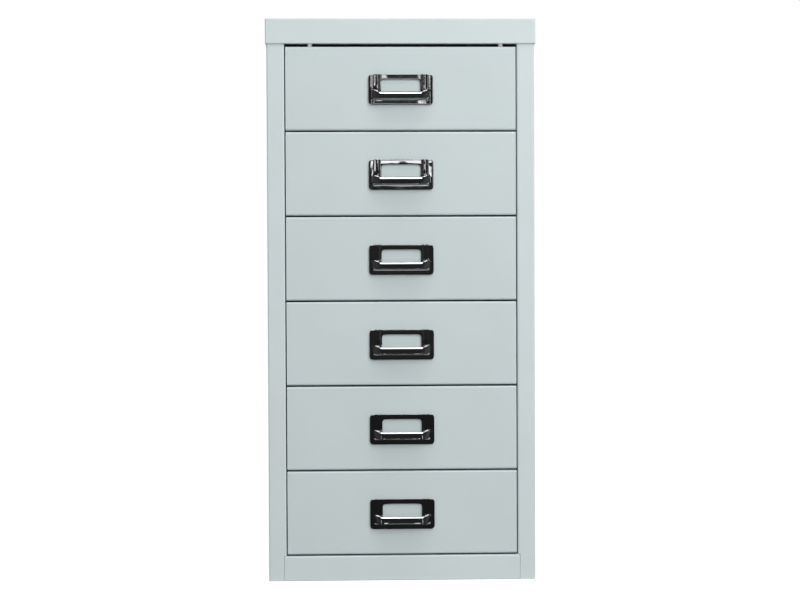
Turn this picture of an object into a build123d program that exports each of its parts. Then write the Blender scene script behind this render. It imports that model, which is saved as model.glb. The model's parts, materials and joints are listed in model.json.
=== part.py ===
from build123d import *
import math
import os

# Small upright desktop cabinet of folded sheet steel with six shallow drawers for A4 paper.
# Millimetres. X runs to the right, Y to the back, Z up. The origin is on the floor, under the
# middle of the carcass. Drawer 1 is the top one. Right-hand pieces are modelled and mirrored.

# ---- Driving sizes -------------------------------------------------------------------------

# Carcass
cabinet_height = 590.0
body_width = 280.6
body_depth = 380.0
sheet = 0.8
fold_radius = 1.8
weld_clearance = 0.2

# Side panels: the front stile, its return and the rear flange are folded from the side
stile_width = 18.5
stile_return = 18.0
rear_flange = 14.0
top_flange = 12.0

# Top cap
cap_height = 26.5
cap_clearance = 0.55
cap_edge_radius = 1.6

# Base
plinth_top = 26.2
plinth_lift = 0.7
plinth_return = 14.0
plinth_lap = 2.2
plinth_joint = 0.3
pan_height = 18.0
pan_corner_radius = 3.0

# Cross rail behind the skirt of the cap, and the buffers under it
rail_lift = 0.5
rail_return = 14.0
buffer_places = (-95.0, 105.0)
buffer_radius = 2.4
buffer_setback = 4.2
buffer_stem_radius = 1.4
buffer_barb_radius = 1.9
buffer_barb_height = 1.6
stem_clearance = 0.1

# Drawers
drawer_count = 6
drawer_travel = 290.0
drawer_gap = 1.7
top_gap = 3.0
side_gap = 1.0
front_return = 14.0
front_edge_radius = 1.5
front_corner_radius = 0.9

# Trays
tray_sheet = 0.6
tray_lift = 3.0
tray_wall_height = 76.0
tray_flange = 6.5
tray_flange_clearance = 1.5
tray_back_gap = 22.0
tray_corner_radius = 2.0
tray_rear_flange = 6.0
flange_start_gap = 2.0

# Runner channels
runner_sheet = 0.8
runner_inner_height = 9.0
runner_tip_gap = 1.8
runner_fold_radius = 1.2
runner_tab_setback = 4.0
runner_tab_width = 10.0
runner_start_gap = 0.5
runner_stop_gap = 0.3

# Nylon glides
glide_length = 14.0
glide_gap = 0.2
front_glide_height = 4.0
front_glide_lip = 1.6
end_stop_gap = 1.0

# Pull with its card window
pull_width = 68.3
pull_height = 32.2
pull_drop = 1.4
pull_sheet = 0.8
pull_depth = 1.8
pull_corner_radius = 3.0
pull_edge_radius = 1.2
window_width = 41.0
window_top_bar = 5.5
window_corner_radius = 2.5
hood_crest_below_top = 18.3
hood_height = 7.9
hood_crest_reach = 6.6
hood_reach = 9.4
hood_half_width = 30.5
hood_crest_radius = 2.0
hood_corner_radius = 2.5
hood_shelf_drop = 1.6
guide_centre = 25.8
guide_width = 6.0
guide_rise = 1.3
guide_radius = 1.1
card_slot_half_width = 28.0
tongue_height = 8.0
tongue_bend = 5.0
tongue_clearance = 0.3

# ---- Derived sizes -------------------------------------------------------------------------

half_width = body_width / 2
front_y = -body_depth / 2
back_y = body_depth / 2
carcass_top = cabinet_height - sheet
cap_bottom = cabinet_height - cap_height
opening_half = half_width - stile_width

front_half = opening_half - side_gap
highest_front_top = cap_bottom - top_gap
lowest_front_bottom = plinth_top + drawer_gap
stack_height = highest_front_top - lowest_front_bottom
front_height = (stack_height - (drawer_count - 1) * drawer_gap) / drawer_count
drawer_pitch = front_height + drawer_gap

# How far past a wall a cutting block reaches
overcut = 1.0


def front_bottom(number):
    """Height of the lower edge of a drawer front; drawer 1 is the top one."""
    return lowest_front_bottom + (drawer_count - number) * drawer_pitch


# ---- Shape helpers -------------------------------------------------------------------------

def block(x0, x1, y0, y1, z0, z1):
    """A block between two opposite corners."""
    centre = Pos((x0 + x1) / 2, (y0 + y1) / 2, (z0 + z1) / 2)
    return centre * Box(x1 - x0, y1 - y0, z1 - z0)


def strip(points, thickness, radius):
    """Section of a sheet bent along its outer line, with the metal to the left of the line."""
    outer_line = FilletPolyline(*points, radius=radius)
    return make_face(offset(outer_line, amount=thickness, side=Side.LEFT, closed=True))


def along_x(section, x0, x1):
    """Extrude a section drawn in Y and Z from x0 to x1."""
    plane = Plane(origin=(x0, 0, 0), x_dir=(0, 1, 0), z_dir=(1, 0, 0))
    return extrude(plane * section, amount=x1 - x0)


def along_y(section, y0, y1):
    """Extrude a section drawn in X and Z from y0 to y1."""
    plane = Plane(origin=(0, y1, 0), x_dir=(1, 0, 0), z_dir=(0, -1, 0))
    return extrude(plane * section, amount=y1 - y0)


def along_z(section, z0, z1):
    """Extrude a section drawn in X and Y from z0 to z1."""
    return extrude(Pos(0, 0, z0) * section, amount=z1 - z0)


def other_hand(shape):
    """The left-hand twin of a right-hand piece."""
    return mirror(shape, about=Plane.YZ)


def save(name, *solids):
    """Write one sub-part; a group of like pieces goes into one file as separate solids."""
    parts = [solid for shape in solids for solid in shape.solids()]
    shape = parts[0] if len(parts) == 1 else Compound(children=parts)
    shape.label = name
    export_step(shape, f"parts/{name}.step")


# ---- Carcass -------------------------------------------------------------------------------

plinth_half = opening_half + plinth_lap
pan_half = half_width - sheet - weld_clearance
pan_front = front_y + sheet
pan_back = back_y - 2 * sheet
flange_inner = half_width - top_flange


def side_panel():
    """Right side with its stile, the stile's return, the rear flange and the top flange."""
    plan = strip(
        [
            (opening_half, front_y + stile_return),
            (opening_half, front_y),
            (half_width, front_y),
            (half_width, back_y),
            (half_width - rear_flange, back_y),
        ],
        sheet,
        fold_radius,
    )
    panel = along_z(plan, 0, carcass_top)
    panel += block(
        flange_inner, half_width - sheet,
        front_y + stile_return, pan_back - weld_clearance,
        carcass_top - sheet, carcass_top,
    )
    plinth_notch = block(
        opening_half - overcut, plinth_half + plinth_joint,
        front_y - overcut, front_y + stile_return + overcut,
        -overcut, plinth_top + plinth_joint,
    )
    return panel - plinth_notch


def back_panel():
    """Flat back welded inside the rear flanges, with a flange forward under the cap."""
    half = half_width - fold_radius - weld_clearance
    sheet_back = block(-half, half, pan_back, pan_back + sheet, 0, carcass_top - sheet)
    flange_half = flange_inner - weld_clearance
    upright = block(
        -flange_half, flange_half,
        pan_back, pan_back + sheet,
        carcass_top - 2 * sheet, carcass_top,
    )
    flange = block(
        -flange_half, flange_half,
        pan_back - top_flange, pan_back + sheet,
        carcass_top - sheet, carcass_top,
    )
    return sheet_back + upright + flange


def top_cap():
    """Pressed lid whose skirt laps over the top of the carcass."""
    overhang = cap_clearance + sheet
    half_x = half_width + overhang
    half_y = body_depth / 2 + overhang
    lid = block(-half_x, half_x, -half_y, half_y, cap_bottom, cabinet_height)
    lid = fillet(lid.edges().filter_by(Axis.Z), cap_edge_radius)
    lid = fillet(lid.faces().sort_by(Axis.Z)[-1].edges(), cap_edge_radius)
    inner_x = half_x - sheet
    inner_y = half_y - sheet
    hollow = block(-inner_x, inner_x, -inner_y, inner_y, cap_bottom - overcut, carcass_top)
    inner_radius = max(cap_edge_radius - sheet, sheet / 4)
    hollow = fillet(hollow.edges().filter_by(Axis.Z), inner_radius)
    return lid - hollow


def base_pan():
    """Shallow pan that closes the bottom and rests on the floor."""
    pan = block(-pan_half, pan_half, pan_front, pan_back, 0, pan_height)
    pan = fillet(pan.edges().filter_by(Axis.Z), pan_corner_radius)
    hollow = block(
        -pan_half + sheet, pan_half - sheet,
        pan_front + sheet, pan_back - sheet,
        sheet, pan_height + overcut,
    )
    hollow = fillet(hollow.edges().filter_by(Axis.Z), max(pan_corner_radius - sheet, sheet / 4))
    return pan - hollow


def front_plinth():
    """Kick strip flush with the stiles, folded back at its top."""
    section = strip(
        [
            (front_y + plinth_return, plinth_top),
            (front_y, plinth_top),
            (front_y, plinth_lift),
        ],
        sheet,
        fold_radius,
    )
    return along_x(section, -plinth_half, plinth_half)


rail_bottom = cap_bottom + rail_lift
buffer_y = front_y + buffer_setback


def top_front_rail():
    """Channel between the stiles, behind the skirt of the cap."""
    section = strip(
        [
            (front_y + rail_return, carcass_top),
            (front_y, carcass_top),
            (front_y, rail_bottom),
            (front_y + rail_return, rail_bottom),
        ],
        sheet,
        fold_radius,
    )
    rail = along_x(section, -opening_half, opening_half)
    for place in buffer_places:
        hole = Cylinder(buffer_stem_radius + stem_clearance, 4 * sheet)
        rail -= Pos(place, buffer_y, rail_bottom) * hole
    return rail


def cap_buffer(place):
    """Push-in nylon button that keeps the top drawer from rattling under the rail."""
    foot = highest_front_top + 1.5 * glide_gap
    head_height = rail_bottom - foot
    head = Pos(0, 0, foot + head_height / 2) * Cylinder(buffer_radius, head_height)
    stem_height = sheet + buffer_barb_height
    stem = Pos(0, 0, rail_bottom + stem_height / 2) * Cylinder(buffer_stem_radius, stem_height)
    barb_bottom = rail_bottom + sheet + stem_clearance
    barb = Pos(0, 0, barb_bottom + buffer_barb_height / 2) * Cone(
        buffer_barb_radius, buffer_stem_radius, buffer_barb_height
    )
    return Pos(place, buffer_y, 0) * (head + stem + barb)


# ---- Runner channels and their glides ------------------------------------------------------

tray_half = front_half - (tray_flange_clearance - side_gap) - tray_flange
flange_outer = tray_half + tray_flange
web_inner = opening_half + sheet
web_outer = web_inner + runner_sheet
runner_tip = tray_half + runner_tip_gap
channel_front = front_y + stile_return + runner_start_gap
front_glide_back = channel_front + glide_length
rear_glide_front = front_glide_back + drawer_travel + end_stop_gap
rear_glide_back = rear_glide_front + glide_length
runner_stop_front = rear_glide_back + runner_stop_gap


def flange_bottom(number):
    """Height of the underside of a tray's side flanges."""
    return front_bottom(number) + tray_lift + tray_wall_height - tray_sheet


def channel_floor(number):
    """Height of the inner face of the lower side of a runner channel."""
    return flange_bottom(number) - glide_gap - front_glide_height


def runner(number):
    """Right-hand channel, welded to the stile's return and to the back panel."""
    floor = channel_floor(number)
    ceiling = floor + runner_inner_height
    low = floor - runner_sheet
    high = ceiling + runner_sheet
    section = strip(
        [(runner_tip, low), (web_outer, low), (web_outer, high), (runner_tip, high)],
        runner_sheet,
        runner_fold_radius,
    )
    channel = along_y(section, channel_front, pan_back - runner_fold_radius)
    front_tab = block(
        web_inner, web_outer,
        front_y + runner_tab_setback, channel_front + runner_sheet,
        low + runner_fold_radius, high - runner_fold_radius,
    )
    rear_web = block(
        web_inner, web_outer,
        pan_back - 2 * runner_fold_radius, pan_back,
        low + runner_fold_radius, high - runner_fold_radius,
    )
    rear_tab = block(
        web_inner, web_outer + runner_tab_width,
        pan_back - runner_sheet, pan_back,
        low + runner_fold_radius, high - runner_fold_radius,
    )
    end_stop = block(
        runner_tip, web_inner,
        runner_stop_front, runner_stop_front + runner_sheet,
        floor, ceiling,
    )
    return channel + front_tab + rear_web + rear_tab + end_stop


def runner_glide(number):
    """Nylon block in the mouth of a right-hand channel; the tray's flange slides over it."""
    floor = channel_floor(number)
    bed = block(
        runner_tip, web_inner,
        channel_front, front_glide_back,
        floor, floor + front_glide_height,
    )
    lip = block(
        flange_outer + glide_gap, web_inner,
        channel_front, front_glide_back,
        floor, floor + front_glide_height + front_glide_lip,
    )
    glide = bed + lip
    fold_edge = glide.edges().filter_by(Axis.Y).sort_by_distance((web_inner, channel_front, floor))
    return fillet(fold_edge[:1], runner_fold_radius)


# ---- Drawers -------------------------------------------------------------------------------

tray_front = front_y + sheet
tray_back = pan_back - tray_back_gap
flange_start = front_y + front_return + flange_start_gap


def pull_height_above_floor(number):
    """Height of the middle of a pull."""
    return front_bottom(number) + front_height / 2 - pull_drop


def tongue_slots(number):
    """The two slots that a pull's tongues pass through, as cutting blocks."""
    middle = pull_height_above_floor(number)
    outer = pull_width / 2 + tongue_clearance
    inner = pull_width / 2 - pull_sheet - tongue_clearance
    half = tongue_height / 2 + tongue_clearance
    slot = block(
        inner, outer,
        front_y - overcut, tray_front + tray_sheet + overcut,
        middle - half, middle + half,
    )
    return slot + other_hand(slot)


def drawer_front(number):
    """Drawer front: a face folded back on all four sides."""
    bottom = front_bottom(number)
    top = bottom + front_height
    back = front_y + front_return
    panel = block(-front_half, front_half, front_y, back, bottom, top)
    panel = fillet(panel.edges().filter_by(Axis.Y), front_corner_radius)
    panel = fillet(panel.faces().sort_by(Axis.Y)[0].edges(), front_edge_radius)
    hollow = block(
        -front_half + sheet, front_half - sheet,
        front_y + sheet, back + overcut,
        bottom + sheet, top - sheet,
    )
    return panel - hollow - tongue_slots(number)


def drawer_tray(number):
    """Tray with an outward flange on each side and at the back."""
    bottom = front_bottom(number) + tray_lift
    top = bottom + tray_wall_height
    tray = block(-tray_half, tray_half, tray_front, tray_back, bottom, top)
    tray = fillet(tray.edges().filter_by(Axis.Z), tray_corner_radius)
    tray = fillet(tray.faces().sort_by(Axis.Z)[0].edges(), tray_corner_radius)
    side_flange = block(
        tray_half - tray_sheet, flange_outer,
        flange_start, rear_glide_back,
        top - tray_sheet, top,
    )
    rear_flange_strip = block(
        -tray_half + tray_corner_radius, tray_half - tray_corner_radius,
        tray_back - tray_sheet, tray_back + tray_rear_flange,
        top - tray_sheet, top,
    )
    tray = tray + side_flange + other_hand(side_flange) + rear_flange_strip
    hollow = block(
        -tray_half + tray_sheet, tray_half - tray_sheet,
        tray_front + tray_sheet, tray_back - tray_sheet,
        bottom + tray_sheet, top + overcut,
    )
    inner_radius = max(tray_corner_radius - tray_sheet, tray_sheet / 4)
    hollow = fillet(hollow.edges().filter_by(Axis.Z), inner_radius)
    hollow = fillet(hollow.faces().sort_by(Axis.Z)[0].edges(), inner_radius)
    return tray - hollow - tongue_slots(number)


def rear_glide(number):
    """Right-hand nylon shoe that grips the tray's flange and fills the channel."""
    floor = channel_floor(number)
    shoe = block(
        runner_tip, web_inner - glide_gap,
        rear_glide_front, rear_glide_back,
        floor + glide_gap, floor + runner_inner_height - glide_gap,
    )
    shoe = fillet(shoe.edges().filter_by(Axis.X), front_glide_lip / 2)
    flange_bottom_z = flange_bottom(number)
    flange_slot = block(
        runner_tip - overcut, flange_outer,
        rear_glide_front - overcut, rear_glide_back + overcut,
        flange_bottom_z, flange_bottom_z + tray_sheet,
    )
    return shoe - flange_slot


# ---- Pull ----------------------------------------------------------------------------------
# Modelled with its middle at the origin and its back on the plane Y = 0, reaching towards -Y.

pull_half = pull_width / 2
pull_top = pull_height / 2
window_top = pull_top - window_top_bar
crest_z = pull_top - hood_crest_below_top
hood_bottom = crest_z - hood_height
shelf_z = crest_z - hood_shelf_drop


def pull_shell():
    """Shallow pressed shell of the pull, open at its back for the card."""
    outline = RectangleRounded(pull_width, pull_height, pull_corner_radius)
    shell = along_y(outline, -pull_depth, 0)
    shell = fillet(shell.faces().sort_by(Axis.Y)[0].edges(), pull_edge_radius)
    inner_outline = RectangleRounded(
        pull_width - 2 * pull_sheet,
        pull_height - 2 * pull_sheet,
        pull_corner_radius - pull_sheet,
    )
    hollow = along_y(inner_outline, -pull_depth + pull_sheet, overcut)
    card_slot = block(
        -card_slot_half_width, card_slot_half_width,
        -pull_depth + pull_sheet, overcut,
        pull_top - 2 * pull_sheet, pull_top + overcut,
    )
    return shell - hollow - card_slot


def guide_ridge():
    """Right-hand ridge that guides the edge of the card, from the top edge to the hood."""
    low = guide_centre - guide_width / 2
    high = guide_centre + guide_width / 2
    front = -pull_depth - guide_rise
    ridge = block(low, high, front, -pull_depth + pull_sheet, shelf_z, pull_top)
    long_edges = ridge.faces().sort_by(Axis.Y)[0].edges().filter_by(Axis.Z)
    ridge = fillet(long_edges, guide_radius)
    top_edges = ridge.faces().sort_by(Axis.Y)[0].edges().filter_by(Axis.X)
    return fillet(top_edges.sort_by(Axis.Z)[-1:], guide_radius)


def hood_solid(inset):
    """The hood as a full solid, or, with an inset, the hollow inside it."""
    root = -pull_depth + pull_sheet
    bottom = hood_bottom
    if inset:
        root += overcut
        bottom -= overcut
    lean = (hood_reach - hood_crest_reach) / hood_height
    crest_corner = (-hood_crest_reach + inset, crest_z - inset)
    lower_corner = (-hood_reach + inset - lean * (hood_bottom - bottom), bottom)
    profile = Polyline(
        (root, shelf_z - inset),
        (-pull_depth + inset, shelf_z - inset),
        crest_corner,
        lower_corner,
        (root, bottom),
        close=True,
    )
    section = make_face(profile)
    crest = section.vertices().sort_by_distance((*crest_corner, 0))[0]
    section = fillet(crest, max(hood_crest_radius - inset, pull_sheet / 4))
    bar = along_x(section, -hood_half_width, hood_half_width)

    # Seen from above, the ends of the hood run back to the shell at 45 degrees
    root_half = hood_half_width - inset * math.sqrt(2)
    front_half_width = root_half - (hood_reach - pull_depth)
    plan = make_face(
        Polyline(
            (-root_half, root),
            (-root_half, -pull_depth + inset),
            (-front_half_width, lower_corner[0]),
            (front_half_width, lower_corner[0]),
            (root_half, -pull_depth + inset),
            (root_half, root),
            close=True,
        )
    )
    front_corners = plan.vertices().group_by(Axis.Y)[0]
    plan = fillet(front_corners, hood_corner_radius)
    return bar & along_z(plan, bottom - overcut, crest_z + overcut)


def pull():
    """Pressed pull: shell, card window, two guide ridges and the hood that fingers hook under."""
    ridge = guide_ridge()
    body = pull_shell() + ridge + other_hand(ridge) + hood_solid(0)
    window_height = window_top - shelf_z + pull_sheet / 2
    window = along_y(
        Pos(0, window_top - window_height / 2) * Rectangle(window_width, window_height),
        -pull_depth - overcut, overcut,
    )
    upper_corners = window.edges().filter_by(Axis.Y).group_by(Axis.Z)[-1]
    window = fillet(upper_corners, window_corner_radius)
    above_shelf = block(
        -pull_half, pull_half,
        -pull_depth - overcut, overcut,
        shelf_z, pull_top,
    )
    body -= window & above_shelf
    body -= hood_solid(pull_sheet)

    half = tongue_height / 2
    tongue_end = sheet + tray_sheet
    tongue = block(
        pull_half - pull_sheet, pull_half,
        -pull_sheet, tongue_end + pull_sheet,
        -half, half,
    )
    clench = block(
        pull_half - tongue_bend, pull_half,
        tongue_end, tongue_end + pull_sheet,
        -half, half,
    )
    tongue += clench
    return body + tongue + other_hand(tongue)


# ---- Write every sub-part ------------------------------------------------------------------

def main():
    os.makedirs("parts", exist_ok=True)
    right_side = side_panel()
    save("right_side_panel", right_side)
    save("left_side_panel", other_hand(right_side))
    save("back_panel", back_panel())
    save("top_cap", top_cap())
    save("base_pan", base_pan())
    save("front_plinth", front_plinth())
    save("top_front_rail", top_front_rail())
    save("cap_buffers", *[cap_buffer(place) for place in buffer_places])

    numbers = range(1, drawer_count + 1)
    right_glides = [runner_glide(number) for number in numbers]
    save("right_runner_glides", *right_glides)
    save("left_runner_glides", *[other_hand(glide) for glide in right_glides])

    pull_shape = pull()
    for number in numbers:
        channel = runner(number)
        save(f"right_runner_{number}", channel)
        save(f"left_runner_{number}", other_hand(channel))
        save(f"drawer_{number}_front", drawer_front(number))
        save(f"drawer_{number}_tray", drawer_tray(number))
        shoe = rear_glide(number)
        save(f"drawer_{number}_glides", shoe, other_hand(shoe))
        place = Pos(0, front_y, pull_height_above_floor(number))
        save(f"drawer_{number}_handle", place * pull_shape)

    print(f"drawer pitch {drawer_pitch:.3f}, front height {front_height:.3f}")
    print(f"end stop from {rear_glide_front:.2f} to {rear_glide_back:.2f}")


main()
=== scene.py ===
"""Finished look of a small upright steel cabinet with six shallow drawers and chrome pulls.

Lengths are metres. X runs to the right, Y to the back and Z up, with the floor at Z = 0.
"""

import json
import math

import bmesh
import bpy
from bpy.props import FloatProperty, FloatVectorProperty, PointerProperty
from mathutils import Matrix, Vector

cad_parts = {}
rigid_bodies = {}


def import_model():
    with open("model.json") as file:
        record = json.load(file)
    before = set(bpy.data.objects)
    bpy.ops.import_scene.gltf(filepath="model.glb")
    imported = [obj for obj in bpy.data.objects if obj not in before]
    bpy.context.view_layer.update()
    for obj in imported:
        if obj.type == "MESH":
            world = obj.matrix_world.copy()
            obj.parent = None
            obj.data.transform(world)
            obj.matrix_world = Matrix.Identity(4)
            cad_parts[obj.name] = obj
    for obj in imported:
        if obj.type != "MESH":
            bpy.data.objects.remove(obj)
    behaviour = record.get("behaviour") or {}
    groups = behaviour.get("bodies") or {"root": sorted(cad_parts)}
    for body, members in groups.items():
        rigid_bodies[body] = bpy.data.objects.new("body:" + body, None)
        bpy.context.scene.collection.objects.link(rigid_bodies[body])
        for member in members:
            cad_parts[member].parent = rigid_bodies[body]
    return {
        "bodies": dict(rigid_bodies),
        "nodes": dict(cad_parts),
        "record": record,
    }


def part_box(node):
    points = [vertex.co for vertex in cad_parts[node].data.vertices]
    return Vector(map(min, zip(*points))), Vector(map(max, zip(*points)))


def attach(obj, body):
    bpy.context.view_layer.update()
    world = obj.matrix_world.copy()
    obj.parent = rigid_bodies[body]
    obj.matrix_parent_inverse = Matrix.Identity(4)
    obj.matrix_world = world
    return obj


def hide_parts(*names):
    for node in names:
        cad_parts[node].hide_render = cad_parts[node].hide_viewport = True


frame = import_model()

bl_info = {
    "name": "Six-drawer steel cabinet",
    "version": (1, 0, 0),
    "blender": (4, 5, 0),
    "location": "View3D > Sidebar > Cabinet",
    "description": "Models and paints a small steel drawer cabinet on its frame",
    "category": "Object",
}

MM = 0.001
# Corners closer than MERGE are one, and a corner within NEAR of a line lies on it.
MERGE = 0.01 * MM
NEAR = 0.05 * MM

DRAWERS = sorted(name for name in frame["bodies"] if name.startswith("drawer_"))
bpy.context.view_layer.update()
FRONT_LOW, FRONT_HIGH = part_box("drawer_1_front")
FACE_Y = FRONT_LOW.y


# ---- Settings ------------------------------------------------------------------------------

def length(name, description, default):
    """A length that a user may change."""
    return FloatProperty(name=name, description=description, default=default, min=0, unit="LENGTH")


def colour(name, description, default):
    """A colour that a user may change, in linear light."""
    return FloatVectorProperty(
        name=name, description=description, default=default, size=3, min=0, max=1, subtype="COLOR"
    )


def share(name, description, default):
    """A number from 0 to 1 that a user may change."""
    return FloatProperty(name=name, description=description, default=default, min=0, max=1, subtype="FACTOR")


def watts(name, description, default):
    """The power of a lamp that a user may change."""
    return FloatProperty(name=name, description=description, default=default, min=0, unit="POWER")


class CabinetPaint(bpy.types.PropertyGroup):
    """Colours and finishes."""

    carcass: colour("Carcass", "Powder coat of the cap, the sides and the base", (0.600, 0.672, 0.680))
    front: colour("Fronts", "Powder coat of the drawer fronts", (0.565, 0.636, 0.644))
    tray: colour("Trays", "Powder coat of the trays", (0.550, 0.618, 0.626))
    gloss: share("Paint roughness", "Roughness of the powder coat", 0.38)
    grain: length("Paint grain", "Width of one ripple of the powder coat", 0.9 * MM)
    chrome: colour("Chrome", "Reflected colour of the pulls", (0.760, 0.770, 0.785))
    chrome_gloss: share("Chrome roughness", "Roughness of clean chrome", 0.02)
    nylon: colour("Nylon", "Buffers and glides", (0.86, 0.87, 0.85))
    nylon_gloss: share("Nylon roughness", "Roughness of the smoothest nylon", 0.45)


class CabinetPull(bpy.types.PropertyGroup):
    """Sizes of the pressed pull."""

    sheet: length("Sheet", "Thickness of the metal", 0.8 * MM)
    depth: length("Depth", "How far the plate stands off the drawer", 1.8 * MM)
    corner: length("Corner", "Radius of the plate's corners", 4.0 * MM)
    edge: length("Edge", "Radius of the plate's rolled edge", 1.5 * MM)
    crown: length("Crown", "How far the border bulges between its edge and the card guide", 0.20 * MM)
    window: length("Window", "Width of the card window", 41.0 * MM)
    top_bar: length("Top bar", "Height of the bar over the window", 5.5 * MM)
    window_corner: length("Window corner", "Radius of the window's upper corners", 3.0 * MM)
    ridge_place: length("Ridge place", "From the middle to the crest of a card guide", 24.5 * MM)
    ridge_crest: length("Ridge crest", "Width of the crest of a card guide", 2.6 * MM)
    ridge_inner: length("Ridge inner flank", "Width of the flank beside the window", 1.2 * MM)
    ridge_outer: length("Ridge outer flank", "Width of the flank beside the border", 2.8 * MM)
    ridge_rise: length("Ridge rise", "Height of a card guide above the plate", 1.3 * MM)
    tongue: length("Tongue", "Length of a fixing tongue behind the drawer's skin", 5.0 * MM)
    tongue_height: length("Tongue height", "Height of a fixing tongue", 8.0 * MM)


class CabinetSheet(bpy.types.PropertyGroup):
    """Sizes of the folded sheet."""

    sheet: length("Sheet", "Thickness of the fronts and the cap", 0.8 * MM)
    front_edge: length("Front edge", "Fold radius round a drawer front", 2.0 * MM)
    side_fold: share("Side fold", "Width of a front's side folds as a share of the top one", 0.2)
    cap_edge: length("Cap edge", "Fold radius round the cap", 1.5 * MM)
    cap_roll: length("Cap roll", "Height of the rolled lower edge of the cap", 1.4 * MM)
    cap_roll_in: length("Cap roll in", "How far the lower edge of the cap turns in", 0.5 * MM)


class CabinetStage(bpy.types.PropertyGroup):
    """Camera and light."""

    distance: length("Distance", "From the camera to the drawer fronts", 1.6)
    focal: FloatProperty(name="Lens", description="Focal length in mm", default=68.625, min=1, unit="CAMERA")
    key: watts("Key light", "Power of the large light above the front", 28.0)
    top: watts("Top light", "Power of the light high above the cabinet", 16.0)
    side: watts("Side light", "Power of the narrow light at the front right", 7.0)
    fill: FloatProperty(name="Fill", description="Strength of the light from all round", default=0.41, min=0)
    floor_shade: share("Floor shade", "How strongly the floor shows the object's shadow", 0.30)


# ---- Modelling helpers ---------------------------------------------------------------------

# Folds turn in this many facets, and an edge sharper than the angle is shaded sharp.
FOLD_STEPS = 5
SHARP_ANGLE = math.radians(40)


def select_only(piece):
    """Select one object and make it the active one."""
    bpy.ops.object.select_all(action="DESELECT")
    piece.select_set(True)
    bpy.context.view_layer.objects.active = piece


def begin_piece(name, size, place, flat=False):
    """Add a block, or a flat sheet that faces the front, with nothing else selected."""
    bpy.ops.object.select_all(action="DESELECT")
    if flat:
        bpy.ops.mesh.primitive_plane_add(size=1, location=place, rotation=(math.radians(90), 0, 0))
    else:
        bpy.ops.mesh.primitive_cube_add(size=1, location=place)
    piece = bpy.context.active_object
    piece.name = name
    piece.scale = (size[0], size[2], 1) if flat else size
    bpy.ops.object.transform_apply(location=True, rotation=True, scale=True)
    bpy.ops.object.mode_set(mode="EDIT")
    return piece


def end_edit():
    """Leave edit mode."""
    bpy.ops.object.mode_set(mode="OBJECT")


def middle_of(item):
    """Middle of a corner, an edge or a face."""
    corners = [item] if isinstance(item, bmesh.types.BMVert) else item.verts
    return sum((corner.co for corner in corners), Vector()) / len(corners)


def choose(kind, test):
    """Select in edit mode what passes a test of its middle and of the item itself."""
    bpy.ops.mesh.select_mode(type=kind)
    bpy.ops.mesh.select_all(action="DESELECT")
    mesh = bpy.context.edit_object.data
    shape = bmesh.from_edit_mesh(mesh)
    items = {"VERT": shape.verts, "EDGE": shape.edges, "FACE": shape.faces}[kind]
    chosen = [item for item in items if test(middle_of(item), item)]
    if not chosen:
        raise RuntimeError(f"nothing was selected on {bpy.context.edit_object.name}")
    for item in chosen:
        item.select_set(True)
    shape.select_flush_mode()
    bmesh.update_edit_mesh(mesh)


def remove_faces(test):
    """Delete the faces that pass a test."""
    choose("FACE", test)
    bpy.ops.mesh.delete(type="FACE")


def cut(axis, places):
    """Cut the whole shape along planes across one axis (0, 1 or 2)."""
    for place in places:
        bpy.ops.mesh.select_all(action="SELECT")
        point = [0, 0, 0]
        point[axis] = place
        across = [0, 0, 0]
        across[axis] = 1
        bpy.ops.mesh.bisect(plane_co=point, plane_no=across)


def move(offset):
    """Move what is selected."""
    bpy.ops.transform.translate(value=offset)


def squeeze(factors, centre):
    """Scale what is selected about a point."""
    bpy.ops.transform.resize(value=factors, center_override=centre)


def extrude_edges(offset):
    """Draw new faces out of the selected edges."""
    bpy.ops.mesh.extrude_region_move(TRANSFORM_OT_translate={"value": offset})


def fold_edges(radius):
    """Turn every edge between two faces into a rounded fold."""
    choose("EDGE", lambda p, edge: not edge.is_boundary)
    bpy.ops.mesh.bevel(offset=radius, segments=FOLD_STEPS, profile=0.5, affect="EDGES")


def apply_modifier(piece, kind, **values):
    """Add a modifier with these values and apply it."""
    modifier = piece.modifiers.new(kind.title(), kind)
    for key, value in values.items():
        setattr(modifier, key, value)
    select_only(piece)
    bpy.ops.object.modifier_apply(modifier=modifier.name)


def tidy_normals(outward):
    """Merge doubles and turn every face outwards; outward tells whether one face points right."""
    bpy.ops.mesh.select_all(action="SELECT")
    bpy.ops.mesh.remove_doubles(threshold=MERGE)
    bpy.ops.mesh.normals_make_consistent(inside=False)
    shape = bmesh.from_edit_mesh(bpy.context.edit_object.data)
    largest = max(shape.faces, key=lambda face: face.calc_area())
    if not outward(largest):
        bpy.ops.mesh.flip_normals()


def thicken_folded(piece, thickness):
    """Give folded sheet its thickness; shade its folds round and keep the flats between them flat."""
    apply_modifier(piece, "SOLIDIFY", thickness=thickness, offset=-1, use_even_offset=True)
    select_only(piece)
    bpy.ops.object.shade_smooth_by_angle(angle=SHARP_ANGLE)
    apply_modifier(piece, "WEIGHTED_NORMAL", weight=100, keep_sharp=True)


def copy_piece(piece, name, offset):
    """A copy with its own mesh, moved in its mesh."""
    select_only(piece)
    bpy.ops.object.duplicate()
    twin = bpy.context.active_object
    twin.name = name
    move(offset)
    bpy.ops.object.transform_apply(location=True, rotation=False, scale=False)
    return twin


def finish_piece(piece, body, slot, node):
    """Give a piece the finish of a slot, put it on its body and hide the frame node that it stands for."""
    piece.data.materials.clear()
    piece.data.materials.append(finish_of(slot))
    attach(piece, body)
    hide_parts(node)


# ---- Materials -----------------------------------------------------------------------------

TEXTURE = "Surface Texture"
# Where nearly all values of a noise texture lie.
NOISE_LOW = 0.3
NOISE_HIGH = 0.7
SPECKS_PER_RIPPLE = 3.0

# How much smoother or rougher than its setting each finish is in places.
PAINT_SMOOTHER = 0.04
PAINT_ROUGHER = 0.05
CHROME_ROUGHER = 0.03
NYLON_ROUGHER = 0.17


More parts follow.
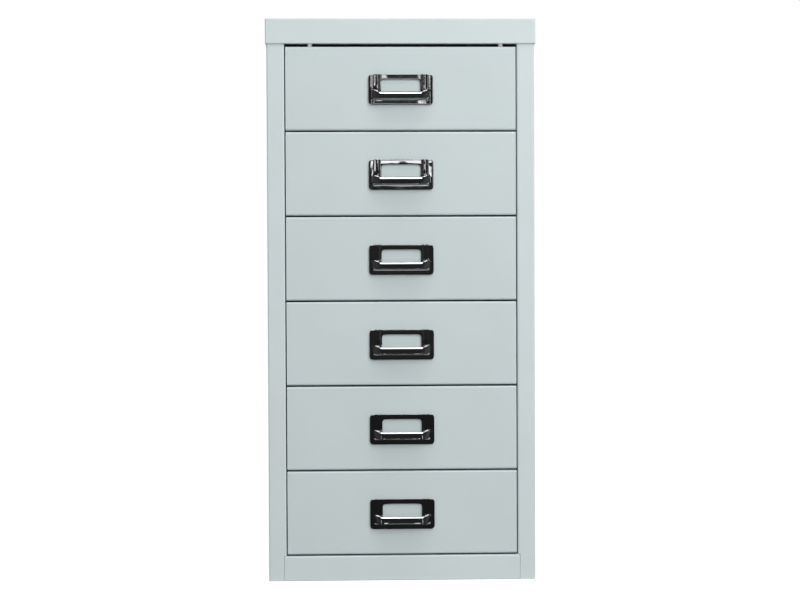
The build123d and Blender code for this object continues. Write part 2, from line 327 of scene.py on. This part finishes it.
def new_group(name, inputs, outputs):
    """An empty shader node group with float inputs and the named outputs."""
    group = bpy.data.node_groups.new(name, "ShaderNodeTree")
    for title, default in inputs:
        socket = group.interface.new_socket(title, in_out="INPUT", socket_type="NodeSocketFloat")
        socket.default_value = default
    for title in outputs:
        group.interface.new_socket(title, in_out="OUTPUT", socket_type="NodeSocketFloat")
    return group, group.nodes.new("NodeGroupInput"), group.nodes.new("NodeGroupOutput")


def math_node(tree, operation, first, second):
    """A math node on two sockets or numbers."""
    node = tree.nodes.new("ShaderNodeMath")
    node.operation = operation
    for place, value in enumerate((first, second)):
        if isinstance(value, bpy.types.NodeSocket):
            tree.links.new(value, node.inputs[place])
        else:
            node.inputs[place].default_value = value
    return node.outputs[0]


def noise_node(tree, coordinates, cells, width, detail):
    """A noise texture with so many cells in a width, which is a socket."""
    node = tree.nodes.new("ShaderNodeTexNoise")
    node.inputs["Detail"].default_value = detail
    tree.links.new(coordinates, node.inputs["Vector"])
    tree.links.new(math_node(tree, "DIVIDE", cells, width), node.inputs["Scale"])
    return node.outputs["Fac"]


def stretched(tree, value, low, high, start=0.0, end=1.0):
    """A value that ran from start to end, made to run from low to high."""
    node = tree.nodes.new("ShaderNodeMapRange")
    node.inputs["From Min"].default_value = start
    node.inputs["From Max"].default_value = end
    node.inputs["To Min"].default_value = low
    node.inputs["To Max"].default_value = high
    tree.links.new(value, node.inputs["Value"])
    return node.outputs[0]


def surface_group():
    """Fine ripple, soft blotches and small specks, shared by every finish."""
    group, given, result = new_group(
        TEXTURE,
        [("Ripple Width", 0.9 * MM), ("Blotch Width", 60 * MM)],
        ["Ripple", "Blotch", "Specks"],
    )
    place = group.nodes.new("ShaderNodeTexCoord").outputs["Object"]
    ripple_width = given.outputs["Ripple Width"]
    ripple = noise_node(group, place, 1.0, ripple_width, detail=1.0)
    blotch = noise_node(group, place, 1.0, given.outputs["Blotch Width"], detail=3.0)
    specks = noise_node(group, place, SPECKS_PER_RIPPLE, ripple_width, detail=1.0)
    group.links.new(ripple, result.inputs["Ripple"])
    for title, noise in (("Blotch", blotch), ("Specks", specks)):
        group.links.new(stretched(group, noise, 0, 1, NOISE_LOW, NOISE_HIGH), result.inputs[title])
    return group


def blank_material(name, ripple, blotch):
    """A new material, its shader, and the shared texture's outputs at these widths."""
    material = bpy.data.materials.new(name)
    material.use_nodes = True
    tree = material.node_tree
    texture = tree.nodes.new("ShaderNodeGroup")
    texture.node_tree = bpy.data.node_groups.get(TEXTURE) or surface_group()
    texture.inputs["Ripple Width"].default_value = ripple
    texture.inputs["Blotch Width"].default_value = blotch
    return material, tree.nodes["Principled BSDF"], texture.outputs


def vary_colour(shader, mask, tint, darkest, lightest):
    """Let the base colour run with a mask between two shares of its tint."""
    tree = shader.id_data
    node = tree.nodes.new("ShaderNodeMix")
    node.data_type = "RGBA"
    for socket, factor in (("A", darkest), ("B", lightest)):
        node.inputs[socket].default_value = (*(min(1.0, part * factor) for part in tint), 1)
    tree.links.new(mask, node.inputs["Factor"])
    tree.links.new(node.outputs["Result"], shader.inputs["Base Color"])


def vary_roughness(shader, mask, smoothest, roughest):
    """Let the roughness run with a mask."""
    tree = shader.id_data
    tree.links.new(stretched(tree, mask, smoothest, roughest), shader.inputs["Roughness"])


def bump(shader, height, strength, distance):
    """Let a height ripple the surface."""
    tree = shader.id_data
    node = tree.nodes.new("ShaderNodeBump")
    node.inputs["Strength"].default_value = strength
    node.inputs["Distance"].default_value = distance
    tree.links.new(height, node.inputs["Height"])
    tree.links.new(node.outputs["Normal"], shader.inputs["Normal"])


def powder_coat(name, tint, settings):
    """Satin powder coat with a fine orange-peel ripple."""
    material, shader, texture = blank_material(name, ripple=settings.grain, blotch=70 * MM)
    vary_colour(shader, texture["Blotch"], tint, darkest=0.985, lightest=1.015)
    gloss = settings.gloss
    vary_roughness(shader, texture["Specks"], gloss - PAINT_SMOOTHER, gloss + PAINT_ROUGHER)
    shader.inputs["Specular IOR Level"].default_value = 0.45
    bump(shader, texture["Ripple"], strength=0.35, distance=0.04 * MM)
    return material


def chrome_plate(name, tint, settings):
    """Bright chrome with a faint polish haze and the slight waves of a pressing."""
    material, shader, texture = blank_material(name, ripple=17 * MM, blotch=12 * MM)
    vary_colour(shader, texture["Blotch"], tint, darkest=0.97, lightest=1.02)
    gloss = settings.chrome_gloss
    vary_roughness(shader, texture["Blotch"], gloss, gloss + CHROME_ROUGHER)
    shader.inputs["Metallic"].default_value = 1.0
    bump(shader, texture["Ripple"], strength=1.0, distance=0.20 * MM)
    return material


def moulded_nylon(name, tint, settings):
    """White moulded nylon with a dull skin."""
    material, shader, texture = blank_material(name, ripple=0.5 * MM, blotch=5 * MM)
    vary_colour(shader, texture["Blotch"], tint, darkest=0.96, lightest=1.03)
    gloss = settings.nylon_gloss
    vary_roughness(shader, texture["Specks"], gloss, gloss + NYLON_ROUGHER)
    shader.inputs["Subsurface Weight"].default_value = 0.15
    shader.inputs["Subsurface Scale"].default_value = 1 * MM
    bump(shader, texture["Ripple"], strength=0.3, distance=0.03 * MM)
    return material


# For each material slot of the frame: the name of its look, how it is made and its colour setting.
FINISHES = {
    "carcass_paint": ("Carcass Powder Coat", powder_coat, "carcass"),
    "front_paint": ("Front Powder Coat", powder_coat, "front"),
    "tray_paint": ("Tray Powder Coat", powder_coat, "tray"),
    "pull_chrome": ("Chrome Plate", chrome_plate, "chrome"),
    "nylon": ("Moulded Nylon", moulded_nylon, "nylon"),
}


def finish_of(slot):
    """The finish of a material slot, made on first use."""
    title, make, tint = FINISHES[slot]
    settings = bpy.context.scene.cabinet_paint
    return bpy.data.materials.get(title) or make(title, getattr(settings, tint), settings)


# ---- Pull ----------------------------------------------------------------------------------

# The hood's lines from its root below the window, over its rim, to its free lower edge: their
# height in the flat sheet, and their reach from the drawer and height once pressed.
HOOD_ROWS = (-3.8 * MM, -4.6 * MM, -5.3 * MM, -6.0 * MM, -6.9 * MM, -8.2 * MM, -10.1 * MM)
HOOD_LINE = (
    (1.8 * MM, -3.8 * MM), (4.7 * MM, -2.2 * MM), (6.15 * MM, -2.4 * MM), (6.95 * MM, -3.4 * MM),
    (7.65 * MM, -4.65 * MM), (8.35 * MM, -6.9 * MM), (9.35 * MM, -10.1 * MM),
)
# Places of three of these lines in the two lists above.
ROOT = 0
RIM = 1
FREE_EDGE = len(HOOD_ROWS) - 1
# Towards its ends the hood falls back to the plate while its rim and root rise into the guide.
# For each guide column and then the border: share of the reach, rise of the rim, rise of the
# root, and reach of the root.
HOOD_ENDS = (
    (0.94, 0.0 * MM, 0.2 * MM, 1.8 * MM),
    (0.87, 0.1 * MM, 1.0 * MM, 2.8 * MM),
    (0.64, 0.6 * MM, 2.4 * MM, 2.8 * MM),
    (0.26, 1.6 * MM, 3.2 * MM, 1.9 * MM),
    (0.00, 1.2 * MM, 1.8 * MM, 1.8 * MM),
)
# How far the window's sharp corner is drawn in, as a share of its radius, so that it turns round.
WINDOW_ROUNDING = 0.2
# Share of the border's bulge that is left beside its rolled edge.
CROWN_AT_EDGE = 0.6
# How far a tongue runs back through the drawer front before it bends.
TONGUE_REACH = 2.2 * MM


def guide_columns(pull):
    """Where a card guide starts, reaches its crest, leaves it and ends, from the middle outwards."""
    crest = pull.ridge_place - pull.ridge_crest / 2
    crest_end = crest + pull.ridge_crest
    return [crest - pull.ridge_inner, crest, crest_end, crest_end + pull.ridge_outer]


def flatten_pull(pull, half, tall):
    """Right half of the pull as a flat sheet, cut along every line where it will bend."""
    sheet = begin_piece("pull", (half, 0, 2 * tall), (half / 2, -pull.depth, 0), flat=True)
    window_half = pull.window / 2
    cut(0, [window_half - pull.window_corner, window_half, *guide_columns(pull)])
    cut(0, [half - pull.corner, half - pull.edge])
    cut(2, [tall - pull.edge, tall - pull.corner, tall - pull.top_bar])
    cut(2, [tall - pull.top_bar - pull.window_corner, pull.tongue_height / 2])
    cut(2, HOOD_ROWS)
    cut(2, [pull.corner - tall, pull.edge - tall])
    return sheet


def is_at(point, x=None, z=None):
    """Whether a point lies on a column, a row or both."""
    return (x is None or abs(point.x - x) < NEAR) and (z is None or abs(point.z - z) < NEAR)


def open_window(pull, tall):
    """Cut the card window down to the root of the hood and draw its sharp corner in."""
    window_half = pull.window / 2
    top = tall - pull.top_bar
    remove_faces(lambda p, _: p.x < window_half and HOOD_ROWS[ROOT] < p.z < top)
    inset = WINDOW_ROUNDING * pull.window_corner
    choose("VERT", lambda p, _: is_at(p, window_half, top))
    move((-inset, 0, -inset))


def lance_hood(pull, half):
    """Part the hood's lower edge from the plate below it."""
    line = HOOD_ROWS[FREE_EDGE]
    end = half - pull.corner
    choose("EDGE", lambda p, edge: p.x < end and all(is_at(v.co, z=line) for v in edge.verts))
    bpy.ops.mesh.edge_split(type="EDGE")


def belongs_above(vertex):
    """Whether a corner on a parted line belongs to the faces above it."""
    return all(middle_of(face).z > vertex.co.z for face in vertex.link_faces)


def press_line(pull, number, on_column, reach, height):
    """Move one line of the flat sheet, where it crosses a column, to its pressed place."""
    flat = HOOD_ROWS[number]
    choose("VERT", lambda p, v: is_at(p, z=flat) and abs(p.y + pull.depth) < NEAR
           and on_column(p) and (number != FREE_EDGE or belongs_above(v)))
    move((0, pull.depth - reach, height - flat))


def press_hood(pull, half):
    """Push the hood's lines out, and let its ends rise into the card guides."""
    columns = guide_columns(pull) + [half - pull.corner]
    rim_height = HOOD_LINE[RIM][1]
    lowest = HOOD_LINE[FREE_EDGE][1]
    for number, (reach, height) in enumerate(HOOD_LINE):
        press_line(pull, number, lambda p: p.x < columns[0] - NEAR, reach, height)
        for column, (share_out, rim_rise, root_rise, root_reach) in zip(columns, HOOD_ENDS):
            if share_out == 0 and number == FREE_EDGE:
                # Here the free edge runs into the border and stays in its plane.
                continue
            if number == ROOT:
                place = (root_reach, height + root_rise)
            else:
                rise = rim_rise * (height - lowest) / (rim_height - lowest)
                place = (pull.depth + (reach - pull.depth) * share_out, height + rise)
            press_line(pull, number, lambda p: is_at(p, column), *place)


def raise_guides(pull):
    """Press the card guide from the top edge down to the hood."""
    lowest = pull.tongue_height / 2 - NEAR
    _, crest_in, crest_out, _ = guide_columns(pull)
    choose("VERT", lambda p, _: (is_at(p, crest_in) or is_at(p, crest_out)) and p.z > lowest)
    move((0, -pull.ridge_rise, 0))


def crown_border(pull, half):
    """Let the border beside the card guide bulge a little, as pressed metal does."""
    for inset, share_out in ((pull.corner, 1.0), (pull.edge, CROWN_AT_EDGE)):
        choose("VERT", lambda p, _: abs(p.y + pull.depth) < NEAR and is_at(p, x=half - inset))
        move((0, -pull.crown * share_out, 0))


def round_corners(pull, half, tall):
    """Bring the plate's square corners in to their radius."""
    steps = (pull.corner - pull.edge, pull.corner)
    # Each point of a corner's square grid goes to the matching point of a quarter disc.
    for across in steps:
        for along in steps:
            u = across / pull.corner
            v = along / pull.corner
            x = half - pull.corner + across
            z = tall - pull.corner + along
            shift_x = (math.sqrt(1 - v * v / 2) - 1) * across
            shift_z = (math.sqrt(1 - u * u / 2) - 1) * along
            for side in (1, -1):
                choose("VERT", lambda p, _: is_at(p, x, side * z))
                move((shift_x, 0, side * shift_z))


def fold_border(pull, half, tall):
    """Fold the border back to the drawer, but leave the card's slot open at the top."""
    slot_end = guide_columns(pull)[-1] - NEAR
    corner_x = half - pull.corner
    corner_z = tall - pull.corner

    def on_border(p, edge):
        side = p.x > corner_x
        top = p.x > slot_end and p.z > corner_z and all(v.co.z > corner_z - NEAR for v in edge.verts)
        bottom = p.x > NEAR and p.z < NEAR - corner_z
        return edge.is_boundary and (side or top or bottom)

    choose("EDGE", on_border)
    extrude_edges((0, pull.depth, 0))


def bend_tongue(pull, half):
    """Run a tongue back through the drawer front and clench it inwards."""
    reach = pull.tongue_height / 2 + NEAR
    choose("EDGE", lambda p, edge: edge.is_boundary and abs(p.z) < reach and p.x > half - NEAR
           and abs(p.y) < NEAR and all(abs(v.co.z) < reach for v in edge.verts))
    extrude_edges((0, TONGUE_REACH, 0))
    extrude_edges((-pull.tongue, 0, 0))


def make_pull(pull, half, tall):
    """One pull, with its middle at the origin and its back at Y = 0."""
    piece = flatten_pull(pull, half, tall)
    open_window(pull, tall)
    lance_hood(pull, half)
    press_hood(pull, half)
    raise_guides(pull)
    crown_border(pull, half)
    round_corners(pull, half, tall)
    fold_border(pull, half, tall)
    bend_tongue(pull, half)
    end_edit()
    apply_modifier(piece, "MIRROR", use_axis=(True, False, False), use_clip=True, merge_threshold=NEAR)
    bpy.ops.object.mode_set(mode="EDIT")
    tidy_normals(lambda face: face.normal.y < 0)
    end_edit()
    apply_modifier(piece, "SOLIDIFY", thickness=pull.sheet, offset=-1)
    apply_modifier(piece, "SUBSURF", levels=3, render_levels=3)
    bpy.ops.object.shade_smooth()
    return piece


class CABINET_OT_pulls(bpy.types.Operator):
    """Model the pressed chrome pulls"""

    bl_idname = "cabinet.pulls"
    bl_label = "Pulls"

    def execute(self, context):
        low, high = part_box("drawer_1_handle")
        first = make_pull(context.scene.cabinet_pull, (high.x - low.x) / 2, (high.z - low.z) / 2)
        for body in DRAWERS:
            low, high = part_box(f"{body}_handle")
            place = ((low.x + high.x) / 2, FACE_Y, (low.z + high.z) / 2)
            piece = copy_piece(first, f"{body}_pull", place)
            finish_piece(piece, body, "pull_chrome", f"{body}_handle")
        bpy.data.objects.remove(first)
        return {"FINISHED"}


# ---- Drawer fronts and cap -----------------------------------------------------------------

# Play of a slot above and below its tongue, and where it starts and ends, measured in from the
# side of the pull.
SLOT_PLAY = 0.3 * MM
SLOT_START = 1.1 * MM
SLOT_END = 0.05 * MM
# The cap's lower edge turns in by this many facets.
ROLL_STEPS = 4


def make_front(sheet, low, high, slot_low, slot_high):
    """A drawer front folded from one sheet, with a slot for each tongue of the pull."""
    size = high - low
    piece = begin_piece("front", size, (low + high) / 2)
    remove_faces(lambda p, face: face.normal.y > 0.5)
    fold_edges(sheet.front_edge)
    for side in (1, -1):
        edge_x = side * size.x / 2
        choose("VERT", lambda p, _: abs(p.x - edge_x) < sheet.front_edge + NEAR)
        squeeze((sheet.side_fold, 1, 1), (edge_x, 0, 0))
    cut(0, (-slot_high.x, -slot_low.x, slot_low.x, slot_high.x))
    cut(2, (slot_low.z, slot_high.z))
    remove_faces(lambda p, face: p.y < low.y + NEAR and slot_low.x < abs(p.x) < slot_high.x
                 and slot_low.z < p.z < slot_high.z)
    tidy_normals(lambda face: face.normal.y < 0)
    end_edit()
    thicken_folded(piece, sheet.sheet)
    return piece


class CABINET_OT_fronts(bpy.types.Operator):
    """Model the folded drawer fronts"""

    bl_idname = "cabinet.fronts"
    bl_label = "Drawer fronts"

    def execute(self, context):
        pull_low, pull_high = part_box("drawer_1_handle")
        middle = (pull_low.z + pull_high.z) / 2
        reach = context.scene.cabinet_pull.tongue_height / 2 + SLOT_PLAY
        slot_low = Vector((pull_high.x - SLOT_START, 0, middle - reach))
        slot_high = Vector((pull_high.x - SLOT_END, 0, middle + reach))
        first = make_front(context.scene.cabinet_sheet, FRONT_LOW, FRONT_HIGH, slot_low, slot_high)
        for body in DRAWERS:
            low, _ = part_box(f"{body}_front")
            piece = copy_piece(first, f"{body}_skin", low - FRONT_LOW)
            finish_piece(piece, body, "front_paint", f"{body}_front")
        bpy.data.objects.remove(first)
        return {"FINISHED"}


def roll_line(sheet, bottom, step):
    """Height of one line of the cap's rolled lower edge, and how far it turns in."""
    turn = math.radians(90 * step / ROLL_STEPS)
    return bottom + sheet.cap_roll * (1 - math.sin(turn)), sheet.cap_roll_in * (1 - math.cos(turn))


class CABINET_OT_cap(bpy.types.Operator):
    """Model the pressed cap with its rolled lower edge"""

    bl_idname = "cabinet.cap"
    bl_label = "Cap"

    def execute(self, context):
        sheet = context.scene.cabinet_sheet
        low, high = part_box("top_cap")
        size = high - low
        piece = begin_piece("cap", size, (low + high) / 2)
        remove_faces(lambda p, face: face.normal.z < -0.5)
        fold_edges(sheet.cap_edge)
        lines = [roll_line(sheet, low.z, step) for step in range(ROLL_STEPS + 1)]
        cut(2, [height for height, _ in lines[:-1]])
        for height, turn_in in lines[1:]:
            choose("VERT", lambda p, _: abs(p.z - height) < MERGE)
            squeeze((1 - 2 * turn_in / size.x, 1 - 2 * turn_in / size.y, 1), (0, 0, height))
        tidy_normals(lambda face: face.normal.z > 0)
        end_edit()
        thicken_folded(piece, sheet.sheet)
        finish_piece(piece, "cabinet", "carcass_paint", "top_cap")
        return {"FINISHED"}


class CABINET_OT_finishes(bpy.types.Operator):
    """Paint the frame's own pieces"""

    bl_idname = "cabinet.finishes"
    bl_label = "Finishes"

    def execute(self, context):
        for row in frame["record"]["subparts"]:
            node = frame["nodes"][row["node"]]
            if node.hide_render:
                # A modelled piece stands for this one.
                continue
            node.data.materials.clear()
            node.data.materials.append(finish_of(row["material_slot"]))
        return {"FINISHED"}


# ---- Stage ---------------------------------------------------------------------------------

# Where the photograph's camera stands and looks, from a fit of the cabinet's edges.
CAMERA_X = -43.3 * MM
CAMERA_HEIGHT = 322.4 * MM
CAMERA_YAW = math.radians(-1.493)
CAMERA_PITCH = math.radians(-0.976)
CAMERA_ROLL = math.radians(-0.242)
SENSOR_WIDTH = 36.0
VIEW_END = 100

FLOOR_SIZE = 30
# Grey of the floor for the rays that light the cabinet.
FLOOR_GREY = 0.6

# The lamps: name, which is also the setting of its power, then place, aim and size.
LAMPS = (
    ("key", (0.9, -1.7, 1.8), (0, -0.15, 0.35), (1.8, 1.2)),
    ("top", (0.1, -0.75, 2.35), (0, -0.15, 0.3), (1.6, 0.4)),
    ("side", (1.15, -2.2, 0.85), (0, -0.1, 0.4), (0.25, 0.8)),
)

# How a card is turned. The last two face the pulls from the left and the right.
LYING = (0, 0, 0)
UPRIGHT = (math.radians(90), 0, 0)
SIDEWAYS = (math.radians(90), 0, math.radians(90))
FROM_LEFT = (math.radians(90), 0, math.radians(-38))
FROM_RIGHT = (math.radians(90), 0, math.radians(28))

# The studio that the chrome and the gloss reflect: name, size, place, turn and shade of each
# card. Dark cards close it on every side but the back, and glowing and dim ones hang in it.
CARDS = (
    ("dark_floor", (6, 4.2), (0, -1.6, 3 * MM), LYING, 0.012),
    ("dark_front", (6, 3.4), (0, -3.6, 1.7), UPRIGHT, 0.018),
    ("dark_left", (4.2, 3.4), (-3.0, -1.5, 1.7), SIDEWAYS, 0.03),
    ("dark_right", (4.2, 3.4), (3.0, -1.5, 1.7), SIDEWAYS, 0.03),
    ("dark_ceiling", (6, 5.0), (0, -1.1, 3.4), LYING, 0.03),
    ("glow_ceiling", (2.4, 0.96), (0, -1.72, 3.1), LYING, 5.0),
    ("glow_front", (0.6, 0.12), (0.1, -3.2, 0.69), UPRIGHT, 1.2),
    ("glow_front_high", (0.12, 0.42), (0.20, -3.2, 0.98), UPRIGHT, 1.4),
    ("glow_front_left", (0.14, 0.36), (-0.07, -3.2, 1.06), UPRIGHT, 1.3),
    ("glow_front_dim", (0.5, 0.3), (0.1, -3.2, 0.90), UPRIGHT, 0.03),
    ("glow_left", (0.12, 0.8), (-1.7, -2.4, 0.95), FROM_LEFT, 1.1),
    ("glow_right", (0.16, 0.9), (1.15, -2.4, 0.95), FROM_RIGHT, 1.6),
    ("dim_left", (1.2, 1.6), (-2.6, -0.9, 0.9), SIDEWAYS, 0.04),
    ("dim_right", (1.2, 1.6), (2.6, -0.9, 0.9), SIDEWAYS, 0.06),
)


def add_camera(stage):
    """The camera, level with the third drawer."""
    turn = Matrix.Rotation(CAMERA_YAW, 3, "Z") @ Matrix.Rotation(CAMERA_PITCH, 3, "X")
    right = turn @ Vector((1, 0, 0))
    up = turn @ Vector((0, 0, 1))
    ahead = turn @ Vector((0, 1, 0))
    across = math.cos(CAMERA_ROLL) * right + math.sin(CAMERA_ROLL) * up
    upright = math.cos(CAMERA_ROLL) * up - math.sin(CAMERA_ROLL) * right
    pose = Matrix((across, upright, -ahead)).transposed()
    place = (CAMERA_X, FACE_Y - stage.distance, CAMERA_HEIGHT)
    bpy.ops.object.camera_add(location=place, rotation=pose.to_euler())
    camera = bpy.context.active_object
    camera.name = "camera"
    camera.data.sensor_fit = "HORIZONTAL"
    camera.data.sensor_width = SENSOR_WIDTH
    camera.data.lens = stage.focal
    camera.data.clip_end = VIEW_END
    bpy.context.scene.camera = camera


def add_lamp(name, place, target, size, power):
    """A soft rectangular light aimed at a point, which no surface mirrors."""
    aim = (Vector(target) - Vector(place)).to_track_quat("-Z", "Y").to_euler()
    bpy.ops.object.light_add(type="AREA", location=place, rotation=aim)
    lamp = bpy.context.active_object
    lamp.name = name
    lamp.data.shape = "RECTANGLE"
    lamp.data.size, lamp.data.size_y = size
    lamp.data.energy = power
    lamp.visible_glossy = False


def add_stage_sheet(name, size, place, turn, material):
    """A flat sheet of the stage with its size and place in its mesh."""
    bpy.ops.object.select_all(action="DESELECT")
    bpy.ops.mesh.primitive_plane_add(size=1, location=place, rotation=turn)
    sheet = bpy.context.active_object
    sheet.name = name
    sheet.scale = (*size, 1)
    bpy.ops.object.transform_apply(location=True, rotation=True, scale=True)
    sheet.data.materials.append(material)
    return sheet


def blank_stage_material(name):
    """A new material for the stage, its empty node tree and its output socket."""
    material = bpy.data.materials.new(name)
    material.use_nodes = True
    tree = material.node_tree
    tree.nodes.clear()
    return material, tree, tree.nodes.new("ShaderNodeOutputMaterial").inputs["Surface"]


def card_material(name, shade):
    """An even glow, strong or faint."""
    material, tree, surface = blank_stage_material(name)
    glow = tree.nodes.new("ShaderNodeEmission")
    glow.inputs["Color"].default_value = (shade, shade, shade, 1)
    tree.links.new(glow.outputs[0], surface)
    return material


def add_card(name, size, place, turn, shade):
    """A card that only the chrome and the gloss of the paint reflect."""
    card = add_stage_sheet(name, size, place, turn, card_material(name, shade))
    card.visible_camera = False
    card.visible_diffuse = False
    card.visible_shadow = False
    card.visible_transmission = False


def seen_directly(tree):
    """1 for camera, glossy and transmission rays, 0 for the rays that light things."""
    path = tree.nodes.new("ShaderNodeLightPath")
    shiny = math_node(tree, "MAXIMUM", path.outputs["Is Glossy Ray"], path.outputs["Is Transmission Ray"])
    return math_node(tree, "MAXIMUM", path.outputs["Is Camera Ray"], shiny)


def grey_diffuse(tree, grey):
    """Output of a dull grey shader."""
    node = tree.nodes.new("ShaderNodeBsdfDiffuse")
    node.inputs["Color"].default_value = (grey, grey, grey, 1)
    return node.outputs[0]


def floor_material(stage):
    """White floor that keeps a soft shadow."""
    material, tree, surface = blank_stage_material("floor")
    glow = tree.nodes.new("ShaderNodeEmission")
    glow.inputs["Strength"].default_value = 1.0 - stage.fill * stage.floor_shade
    white = tree.nodes.new("ShaderNodeAddShader")
    tree.links.new(grey_diffuse(tree, stage.floor_shade), white.inputs[0])
    tree.links.new(glow.outputs[0], white.inputs[1])
    mix = tree.nodes.new("ShaderNodeMixShader")
    tree.links.new(seen_directly(tree), mix.inputs["Fac"])
    tree.links.new(grey_diffuse(tree, FLOOR_GREY), mix.inputs[1])
    tree.links.new(white.outputs[0], mix.inputs[2])
    tree.links.new(mix.outputs[0], surface)
    return material


def light_world(stage):
    """A white world that lights the object more softly than it shows."""
    world = bpy.data.worlds.new("studio")
    bpy.context.scene.world = world
    world.use_nodes = True
    tree = world.node_tree
    background = tree.nodes["Background"]
    background.inputs["Color"].default_value = (1, 1, 1, 1)
    strength = stretched(tree, seen_directly(tree), stage.fill, 1.0)
    tree.links.new(strength, background.inputs["Strength"])


class CABINET_OT_stage(bpy.types.Operator):
    """Set up the camera, the lights and the white floor"""

    bl_idname = "cabinet.stage"
    bl_label = "Stage"

    def execute(self, context):
        stage = context.scene.cabinet_stage
        add_camera(stage)
        light_world(stage)
        add_stage_sheet("floor", (FLOOR_SIZE, FLOOR_SIZE), (0, 0, 0), LYING, floor_material(stage))
        for name, place, target, size in LAMPS:
            add_lamp(name, place, target, size, getattr(stage, name))
        for card in CARDS:
            add_card(*card)
        return {"FINISHED"}


# ---- Panel and registration ----------------------------------------------------------------

STEPS = ("cabinet.pulls", "cabinet.fronts", "cabinet.cap", "cabinet.finishes", "cabinet.stage")
SETTINGS = {
    "cabinet_paint": CabinetPaint,
    "cabinet_pull": CabinetPull,
    "cabinet_sheet": CabinetSheet,
    "cabinet_stage": CabinetStage,
}


class CABINET_PT_panel(bpy.types.Panel):
    """Sidebar panel with the cabinet's steps and settings"""

    bl_idname = "CABINET_PT_panel"
    bl_label = "Drawer cabinet"
    bl_space_type = "VIEW_3D"
    bl_region_type = "UI"
    bl_category = "Cabinet"

    def draw(self, context):
        for step in STEPS:
            self.layout.operator(step)
        for name in SETTINGS:
            group = getattr(context.scene, name)
            box = self.layout.box()
            for key in group.__annotations__:
                box.prop(group, key)


CLASSES = (
    *SETTINGS.values(),
    CABINET_OT_pulls,
    CABINET_OT_fronts,
    CABINET_OT_cap,
    CABINET_OT_finishes,
    CABINET_OT_stage,
    CABINET_PT_panel,
)


def register():
    """Add the classes and the scene's settings."""
    for item in CLASSES:
        bpy.utils.register_class(item)
    for name, group in SETTINGS.items():
        setattr(bpy.types.Scene, name, PointerProperty(type=group))


def unregister():
    """Take the settings and the classes away again."""
    for name in SETTINGS:
        delattr(bpy.types.Scene, name)
    for item in reversed(CLASSES):
        bpy.utils.unregister_class(item)


def run_step(step):
    """Call one operator by its id."""
    family, name = step.split(".")
    getattr(getattr(bpy.ops, family), name)()


def main():
    """Make the whole cabinet."""
    register()
    bpy.context.scene.view_settings.view_transform = "Standard"
    for step in STEPS:
        run_step(step)


if __name__ == "__main__":
    main()
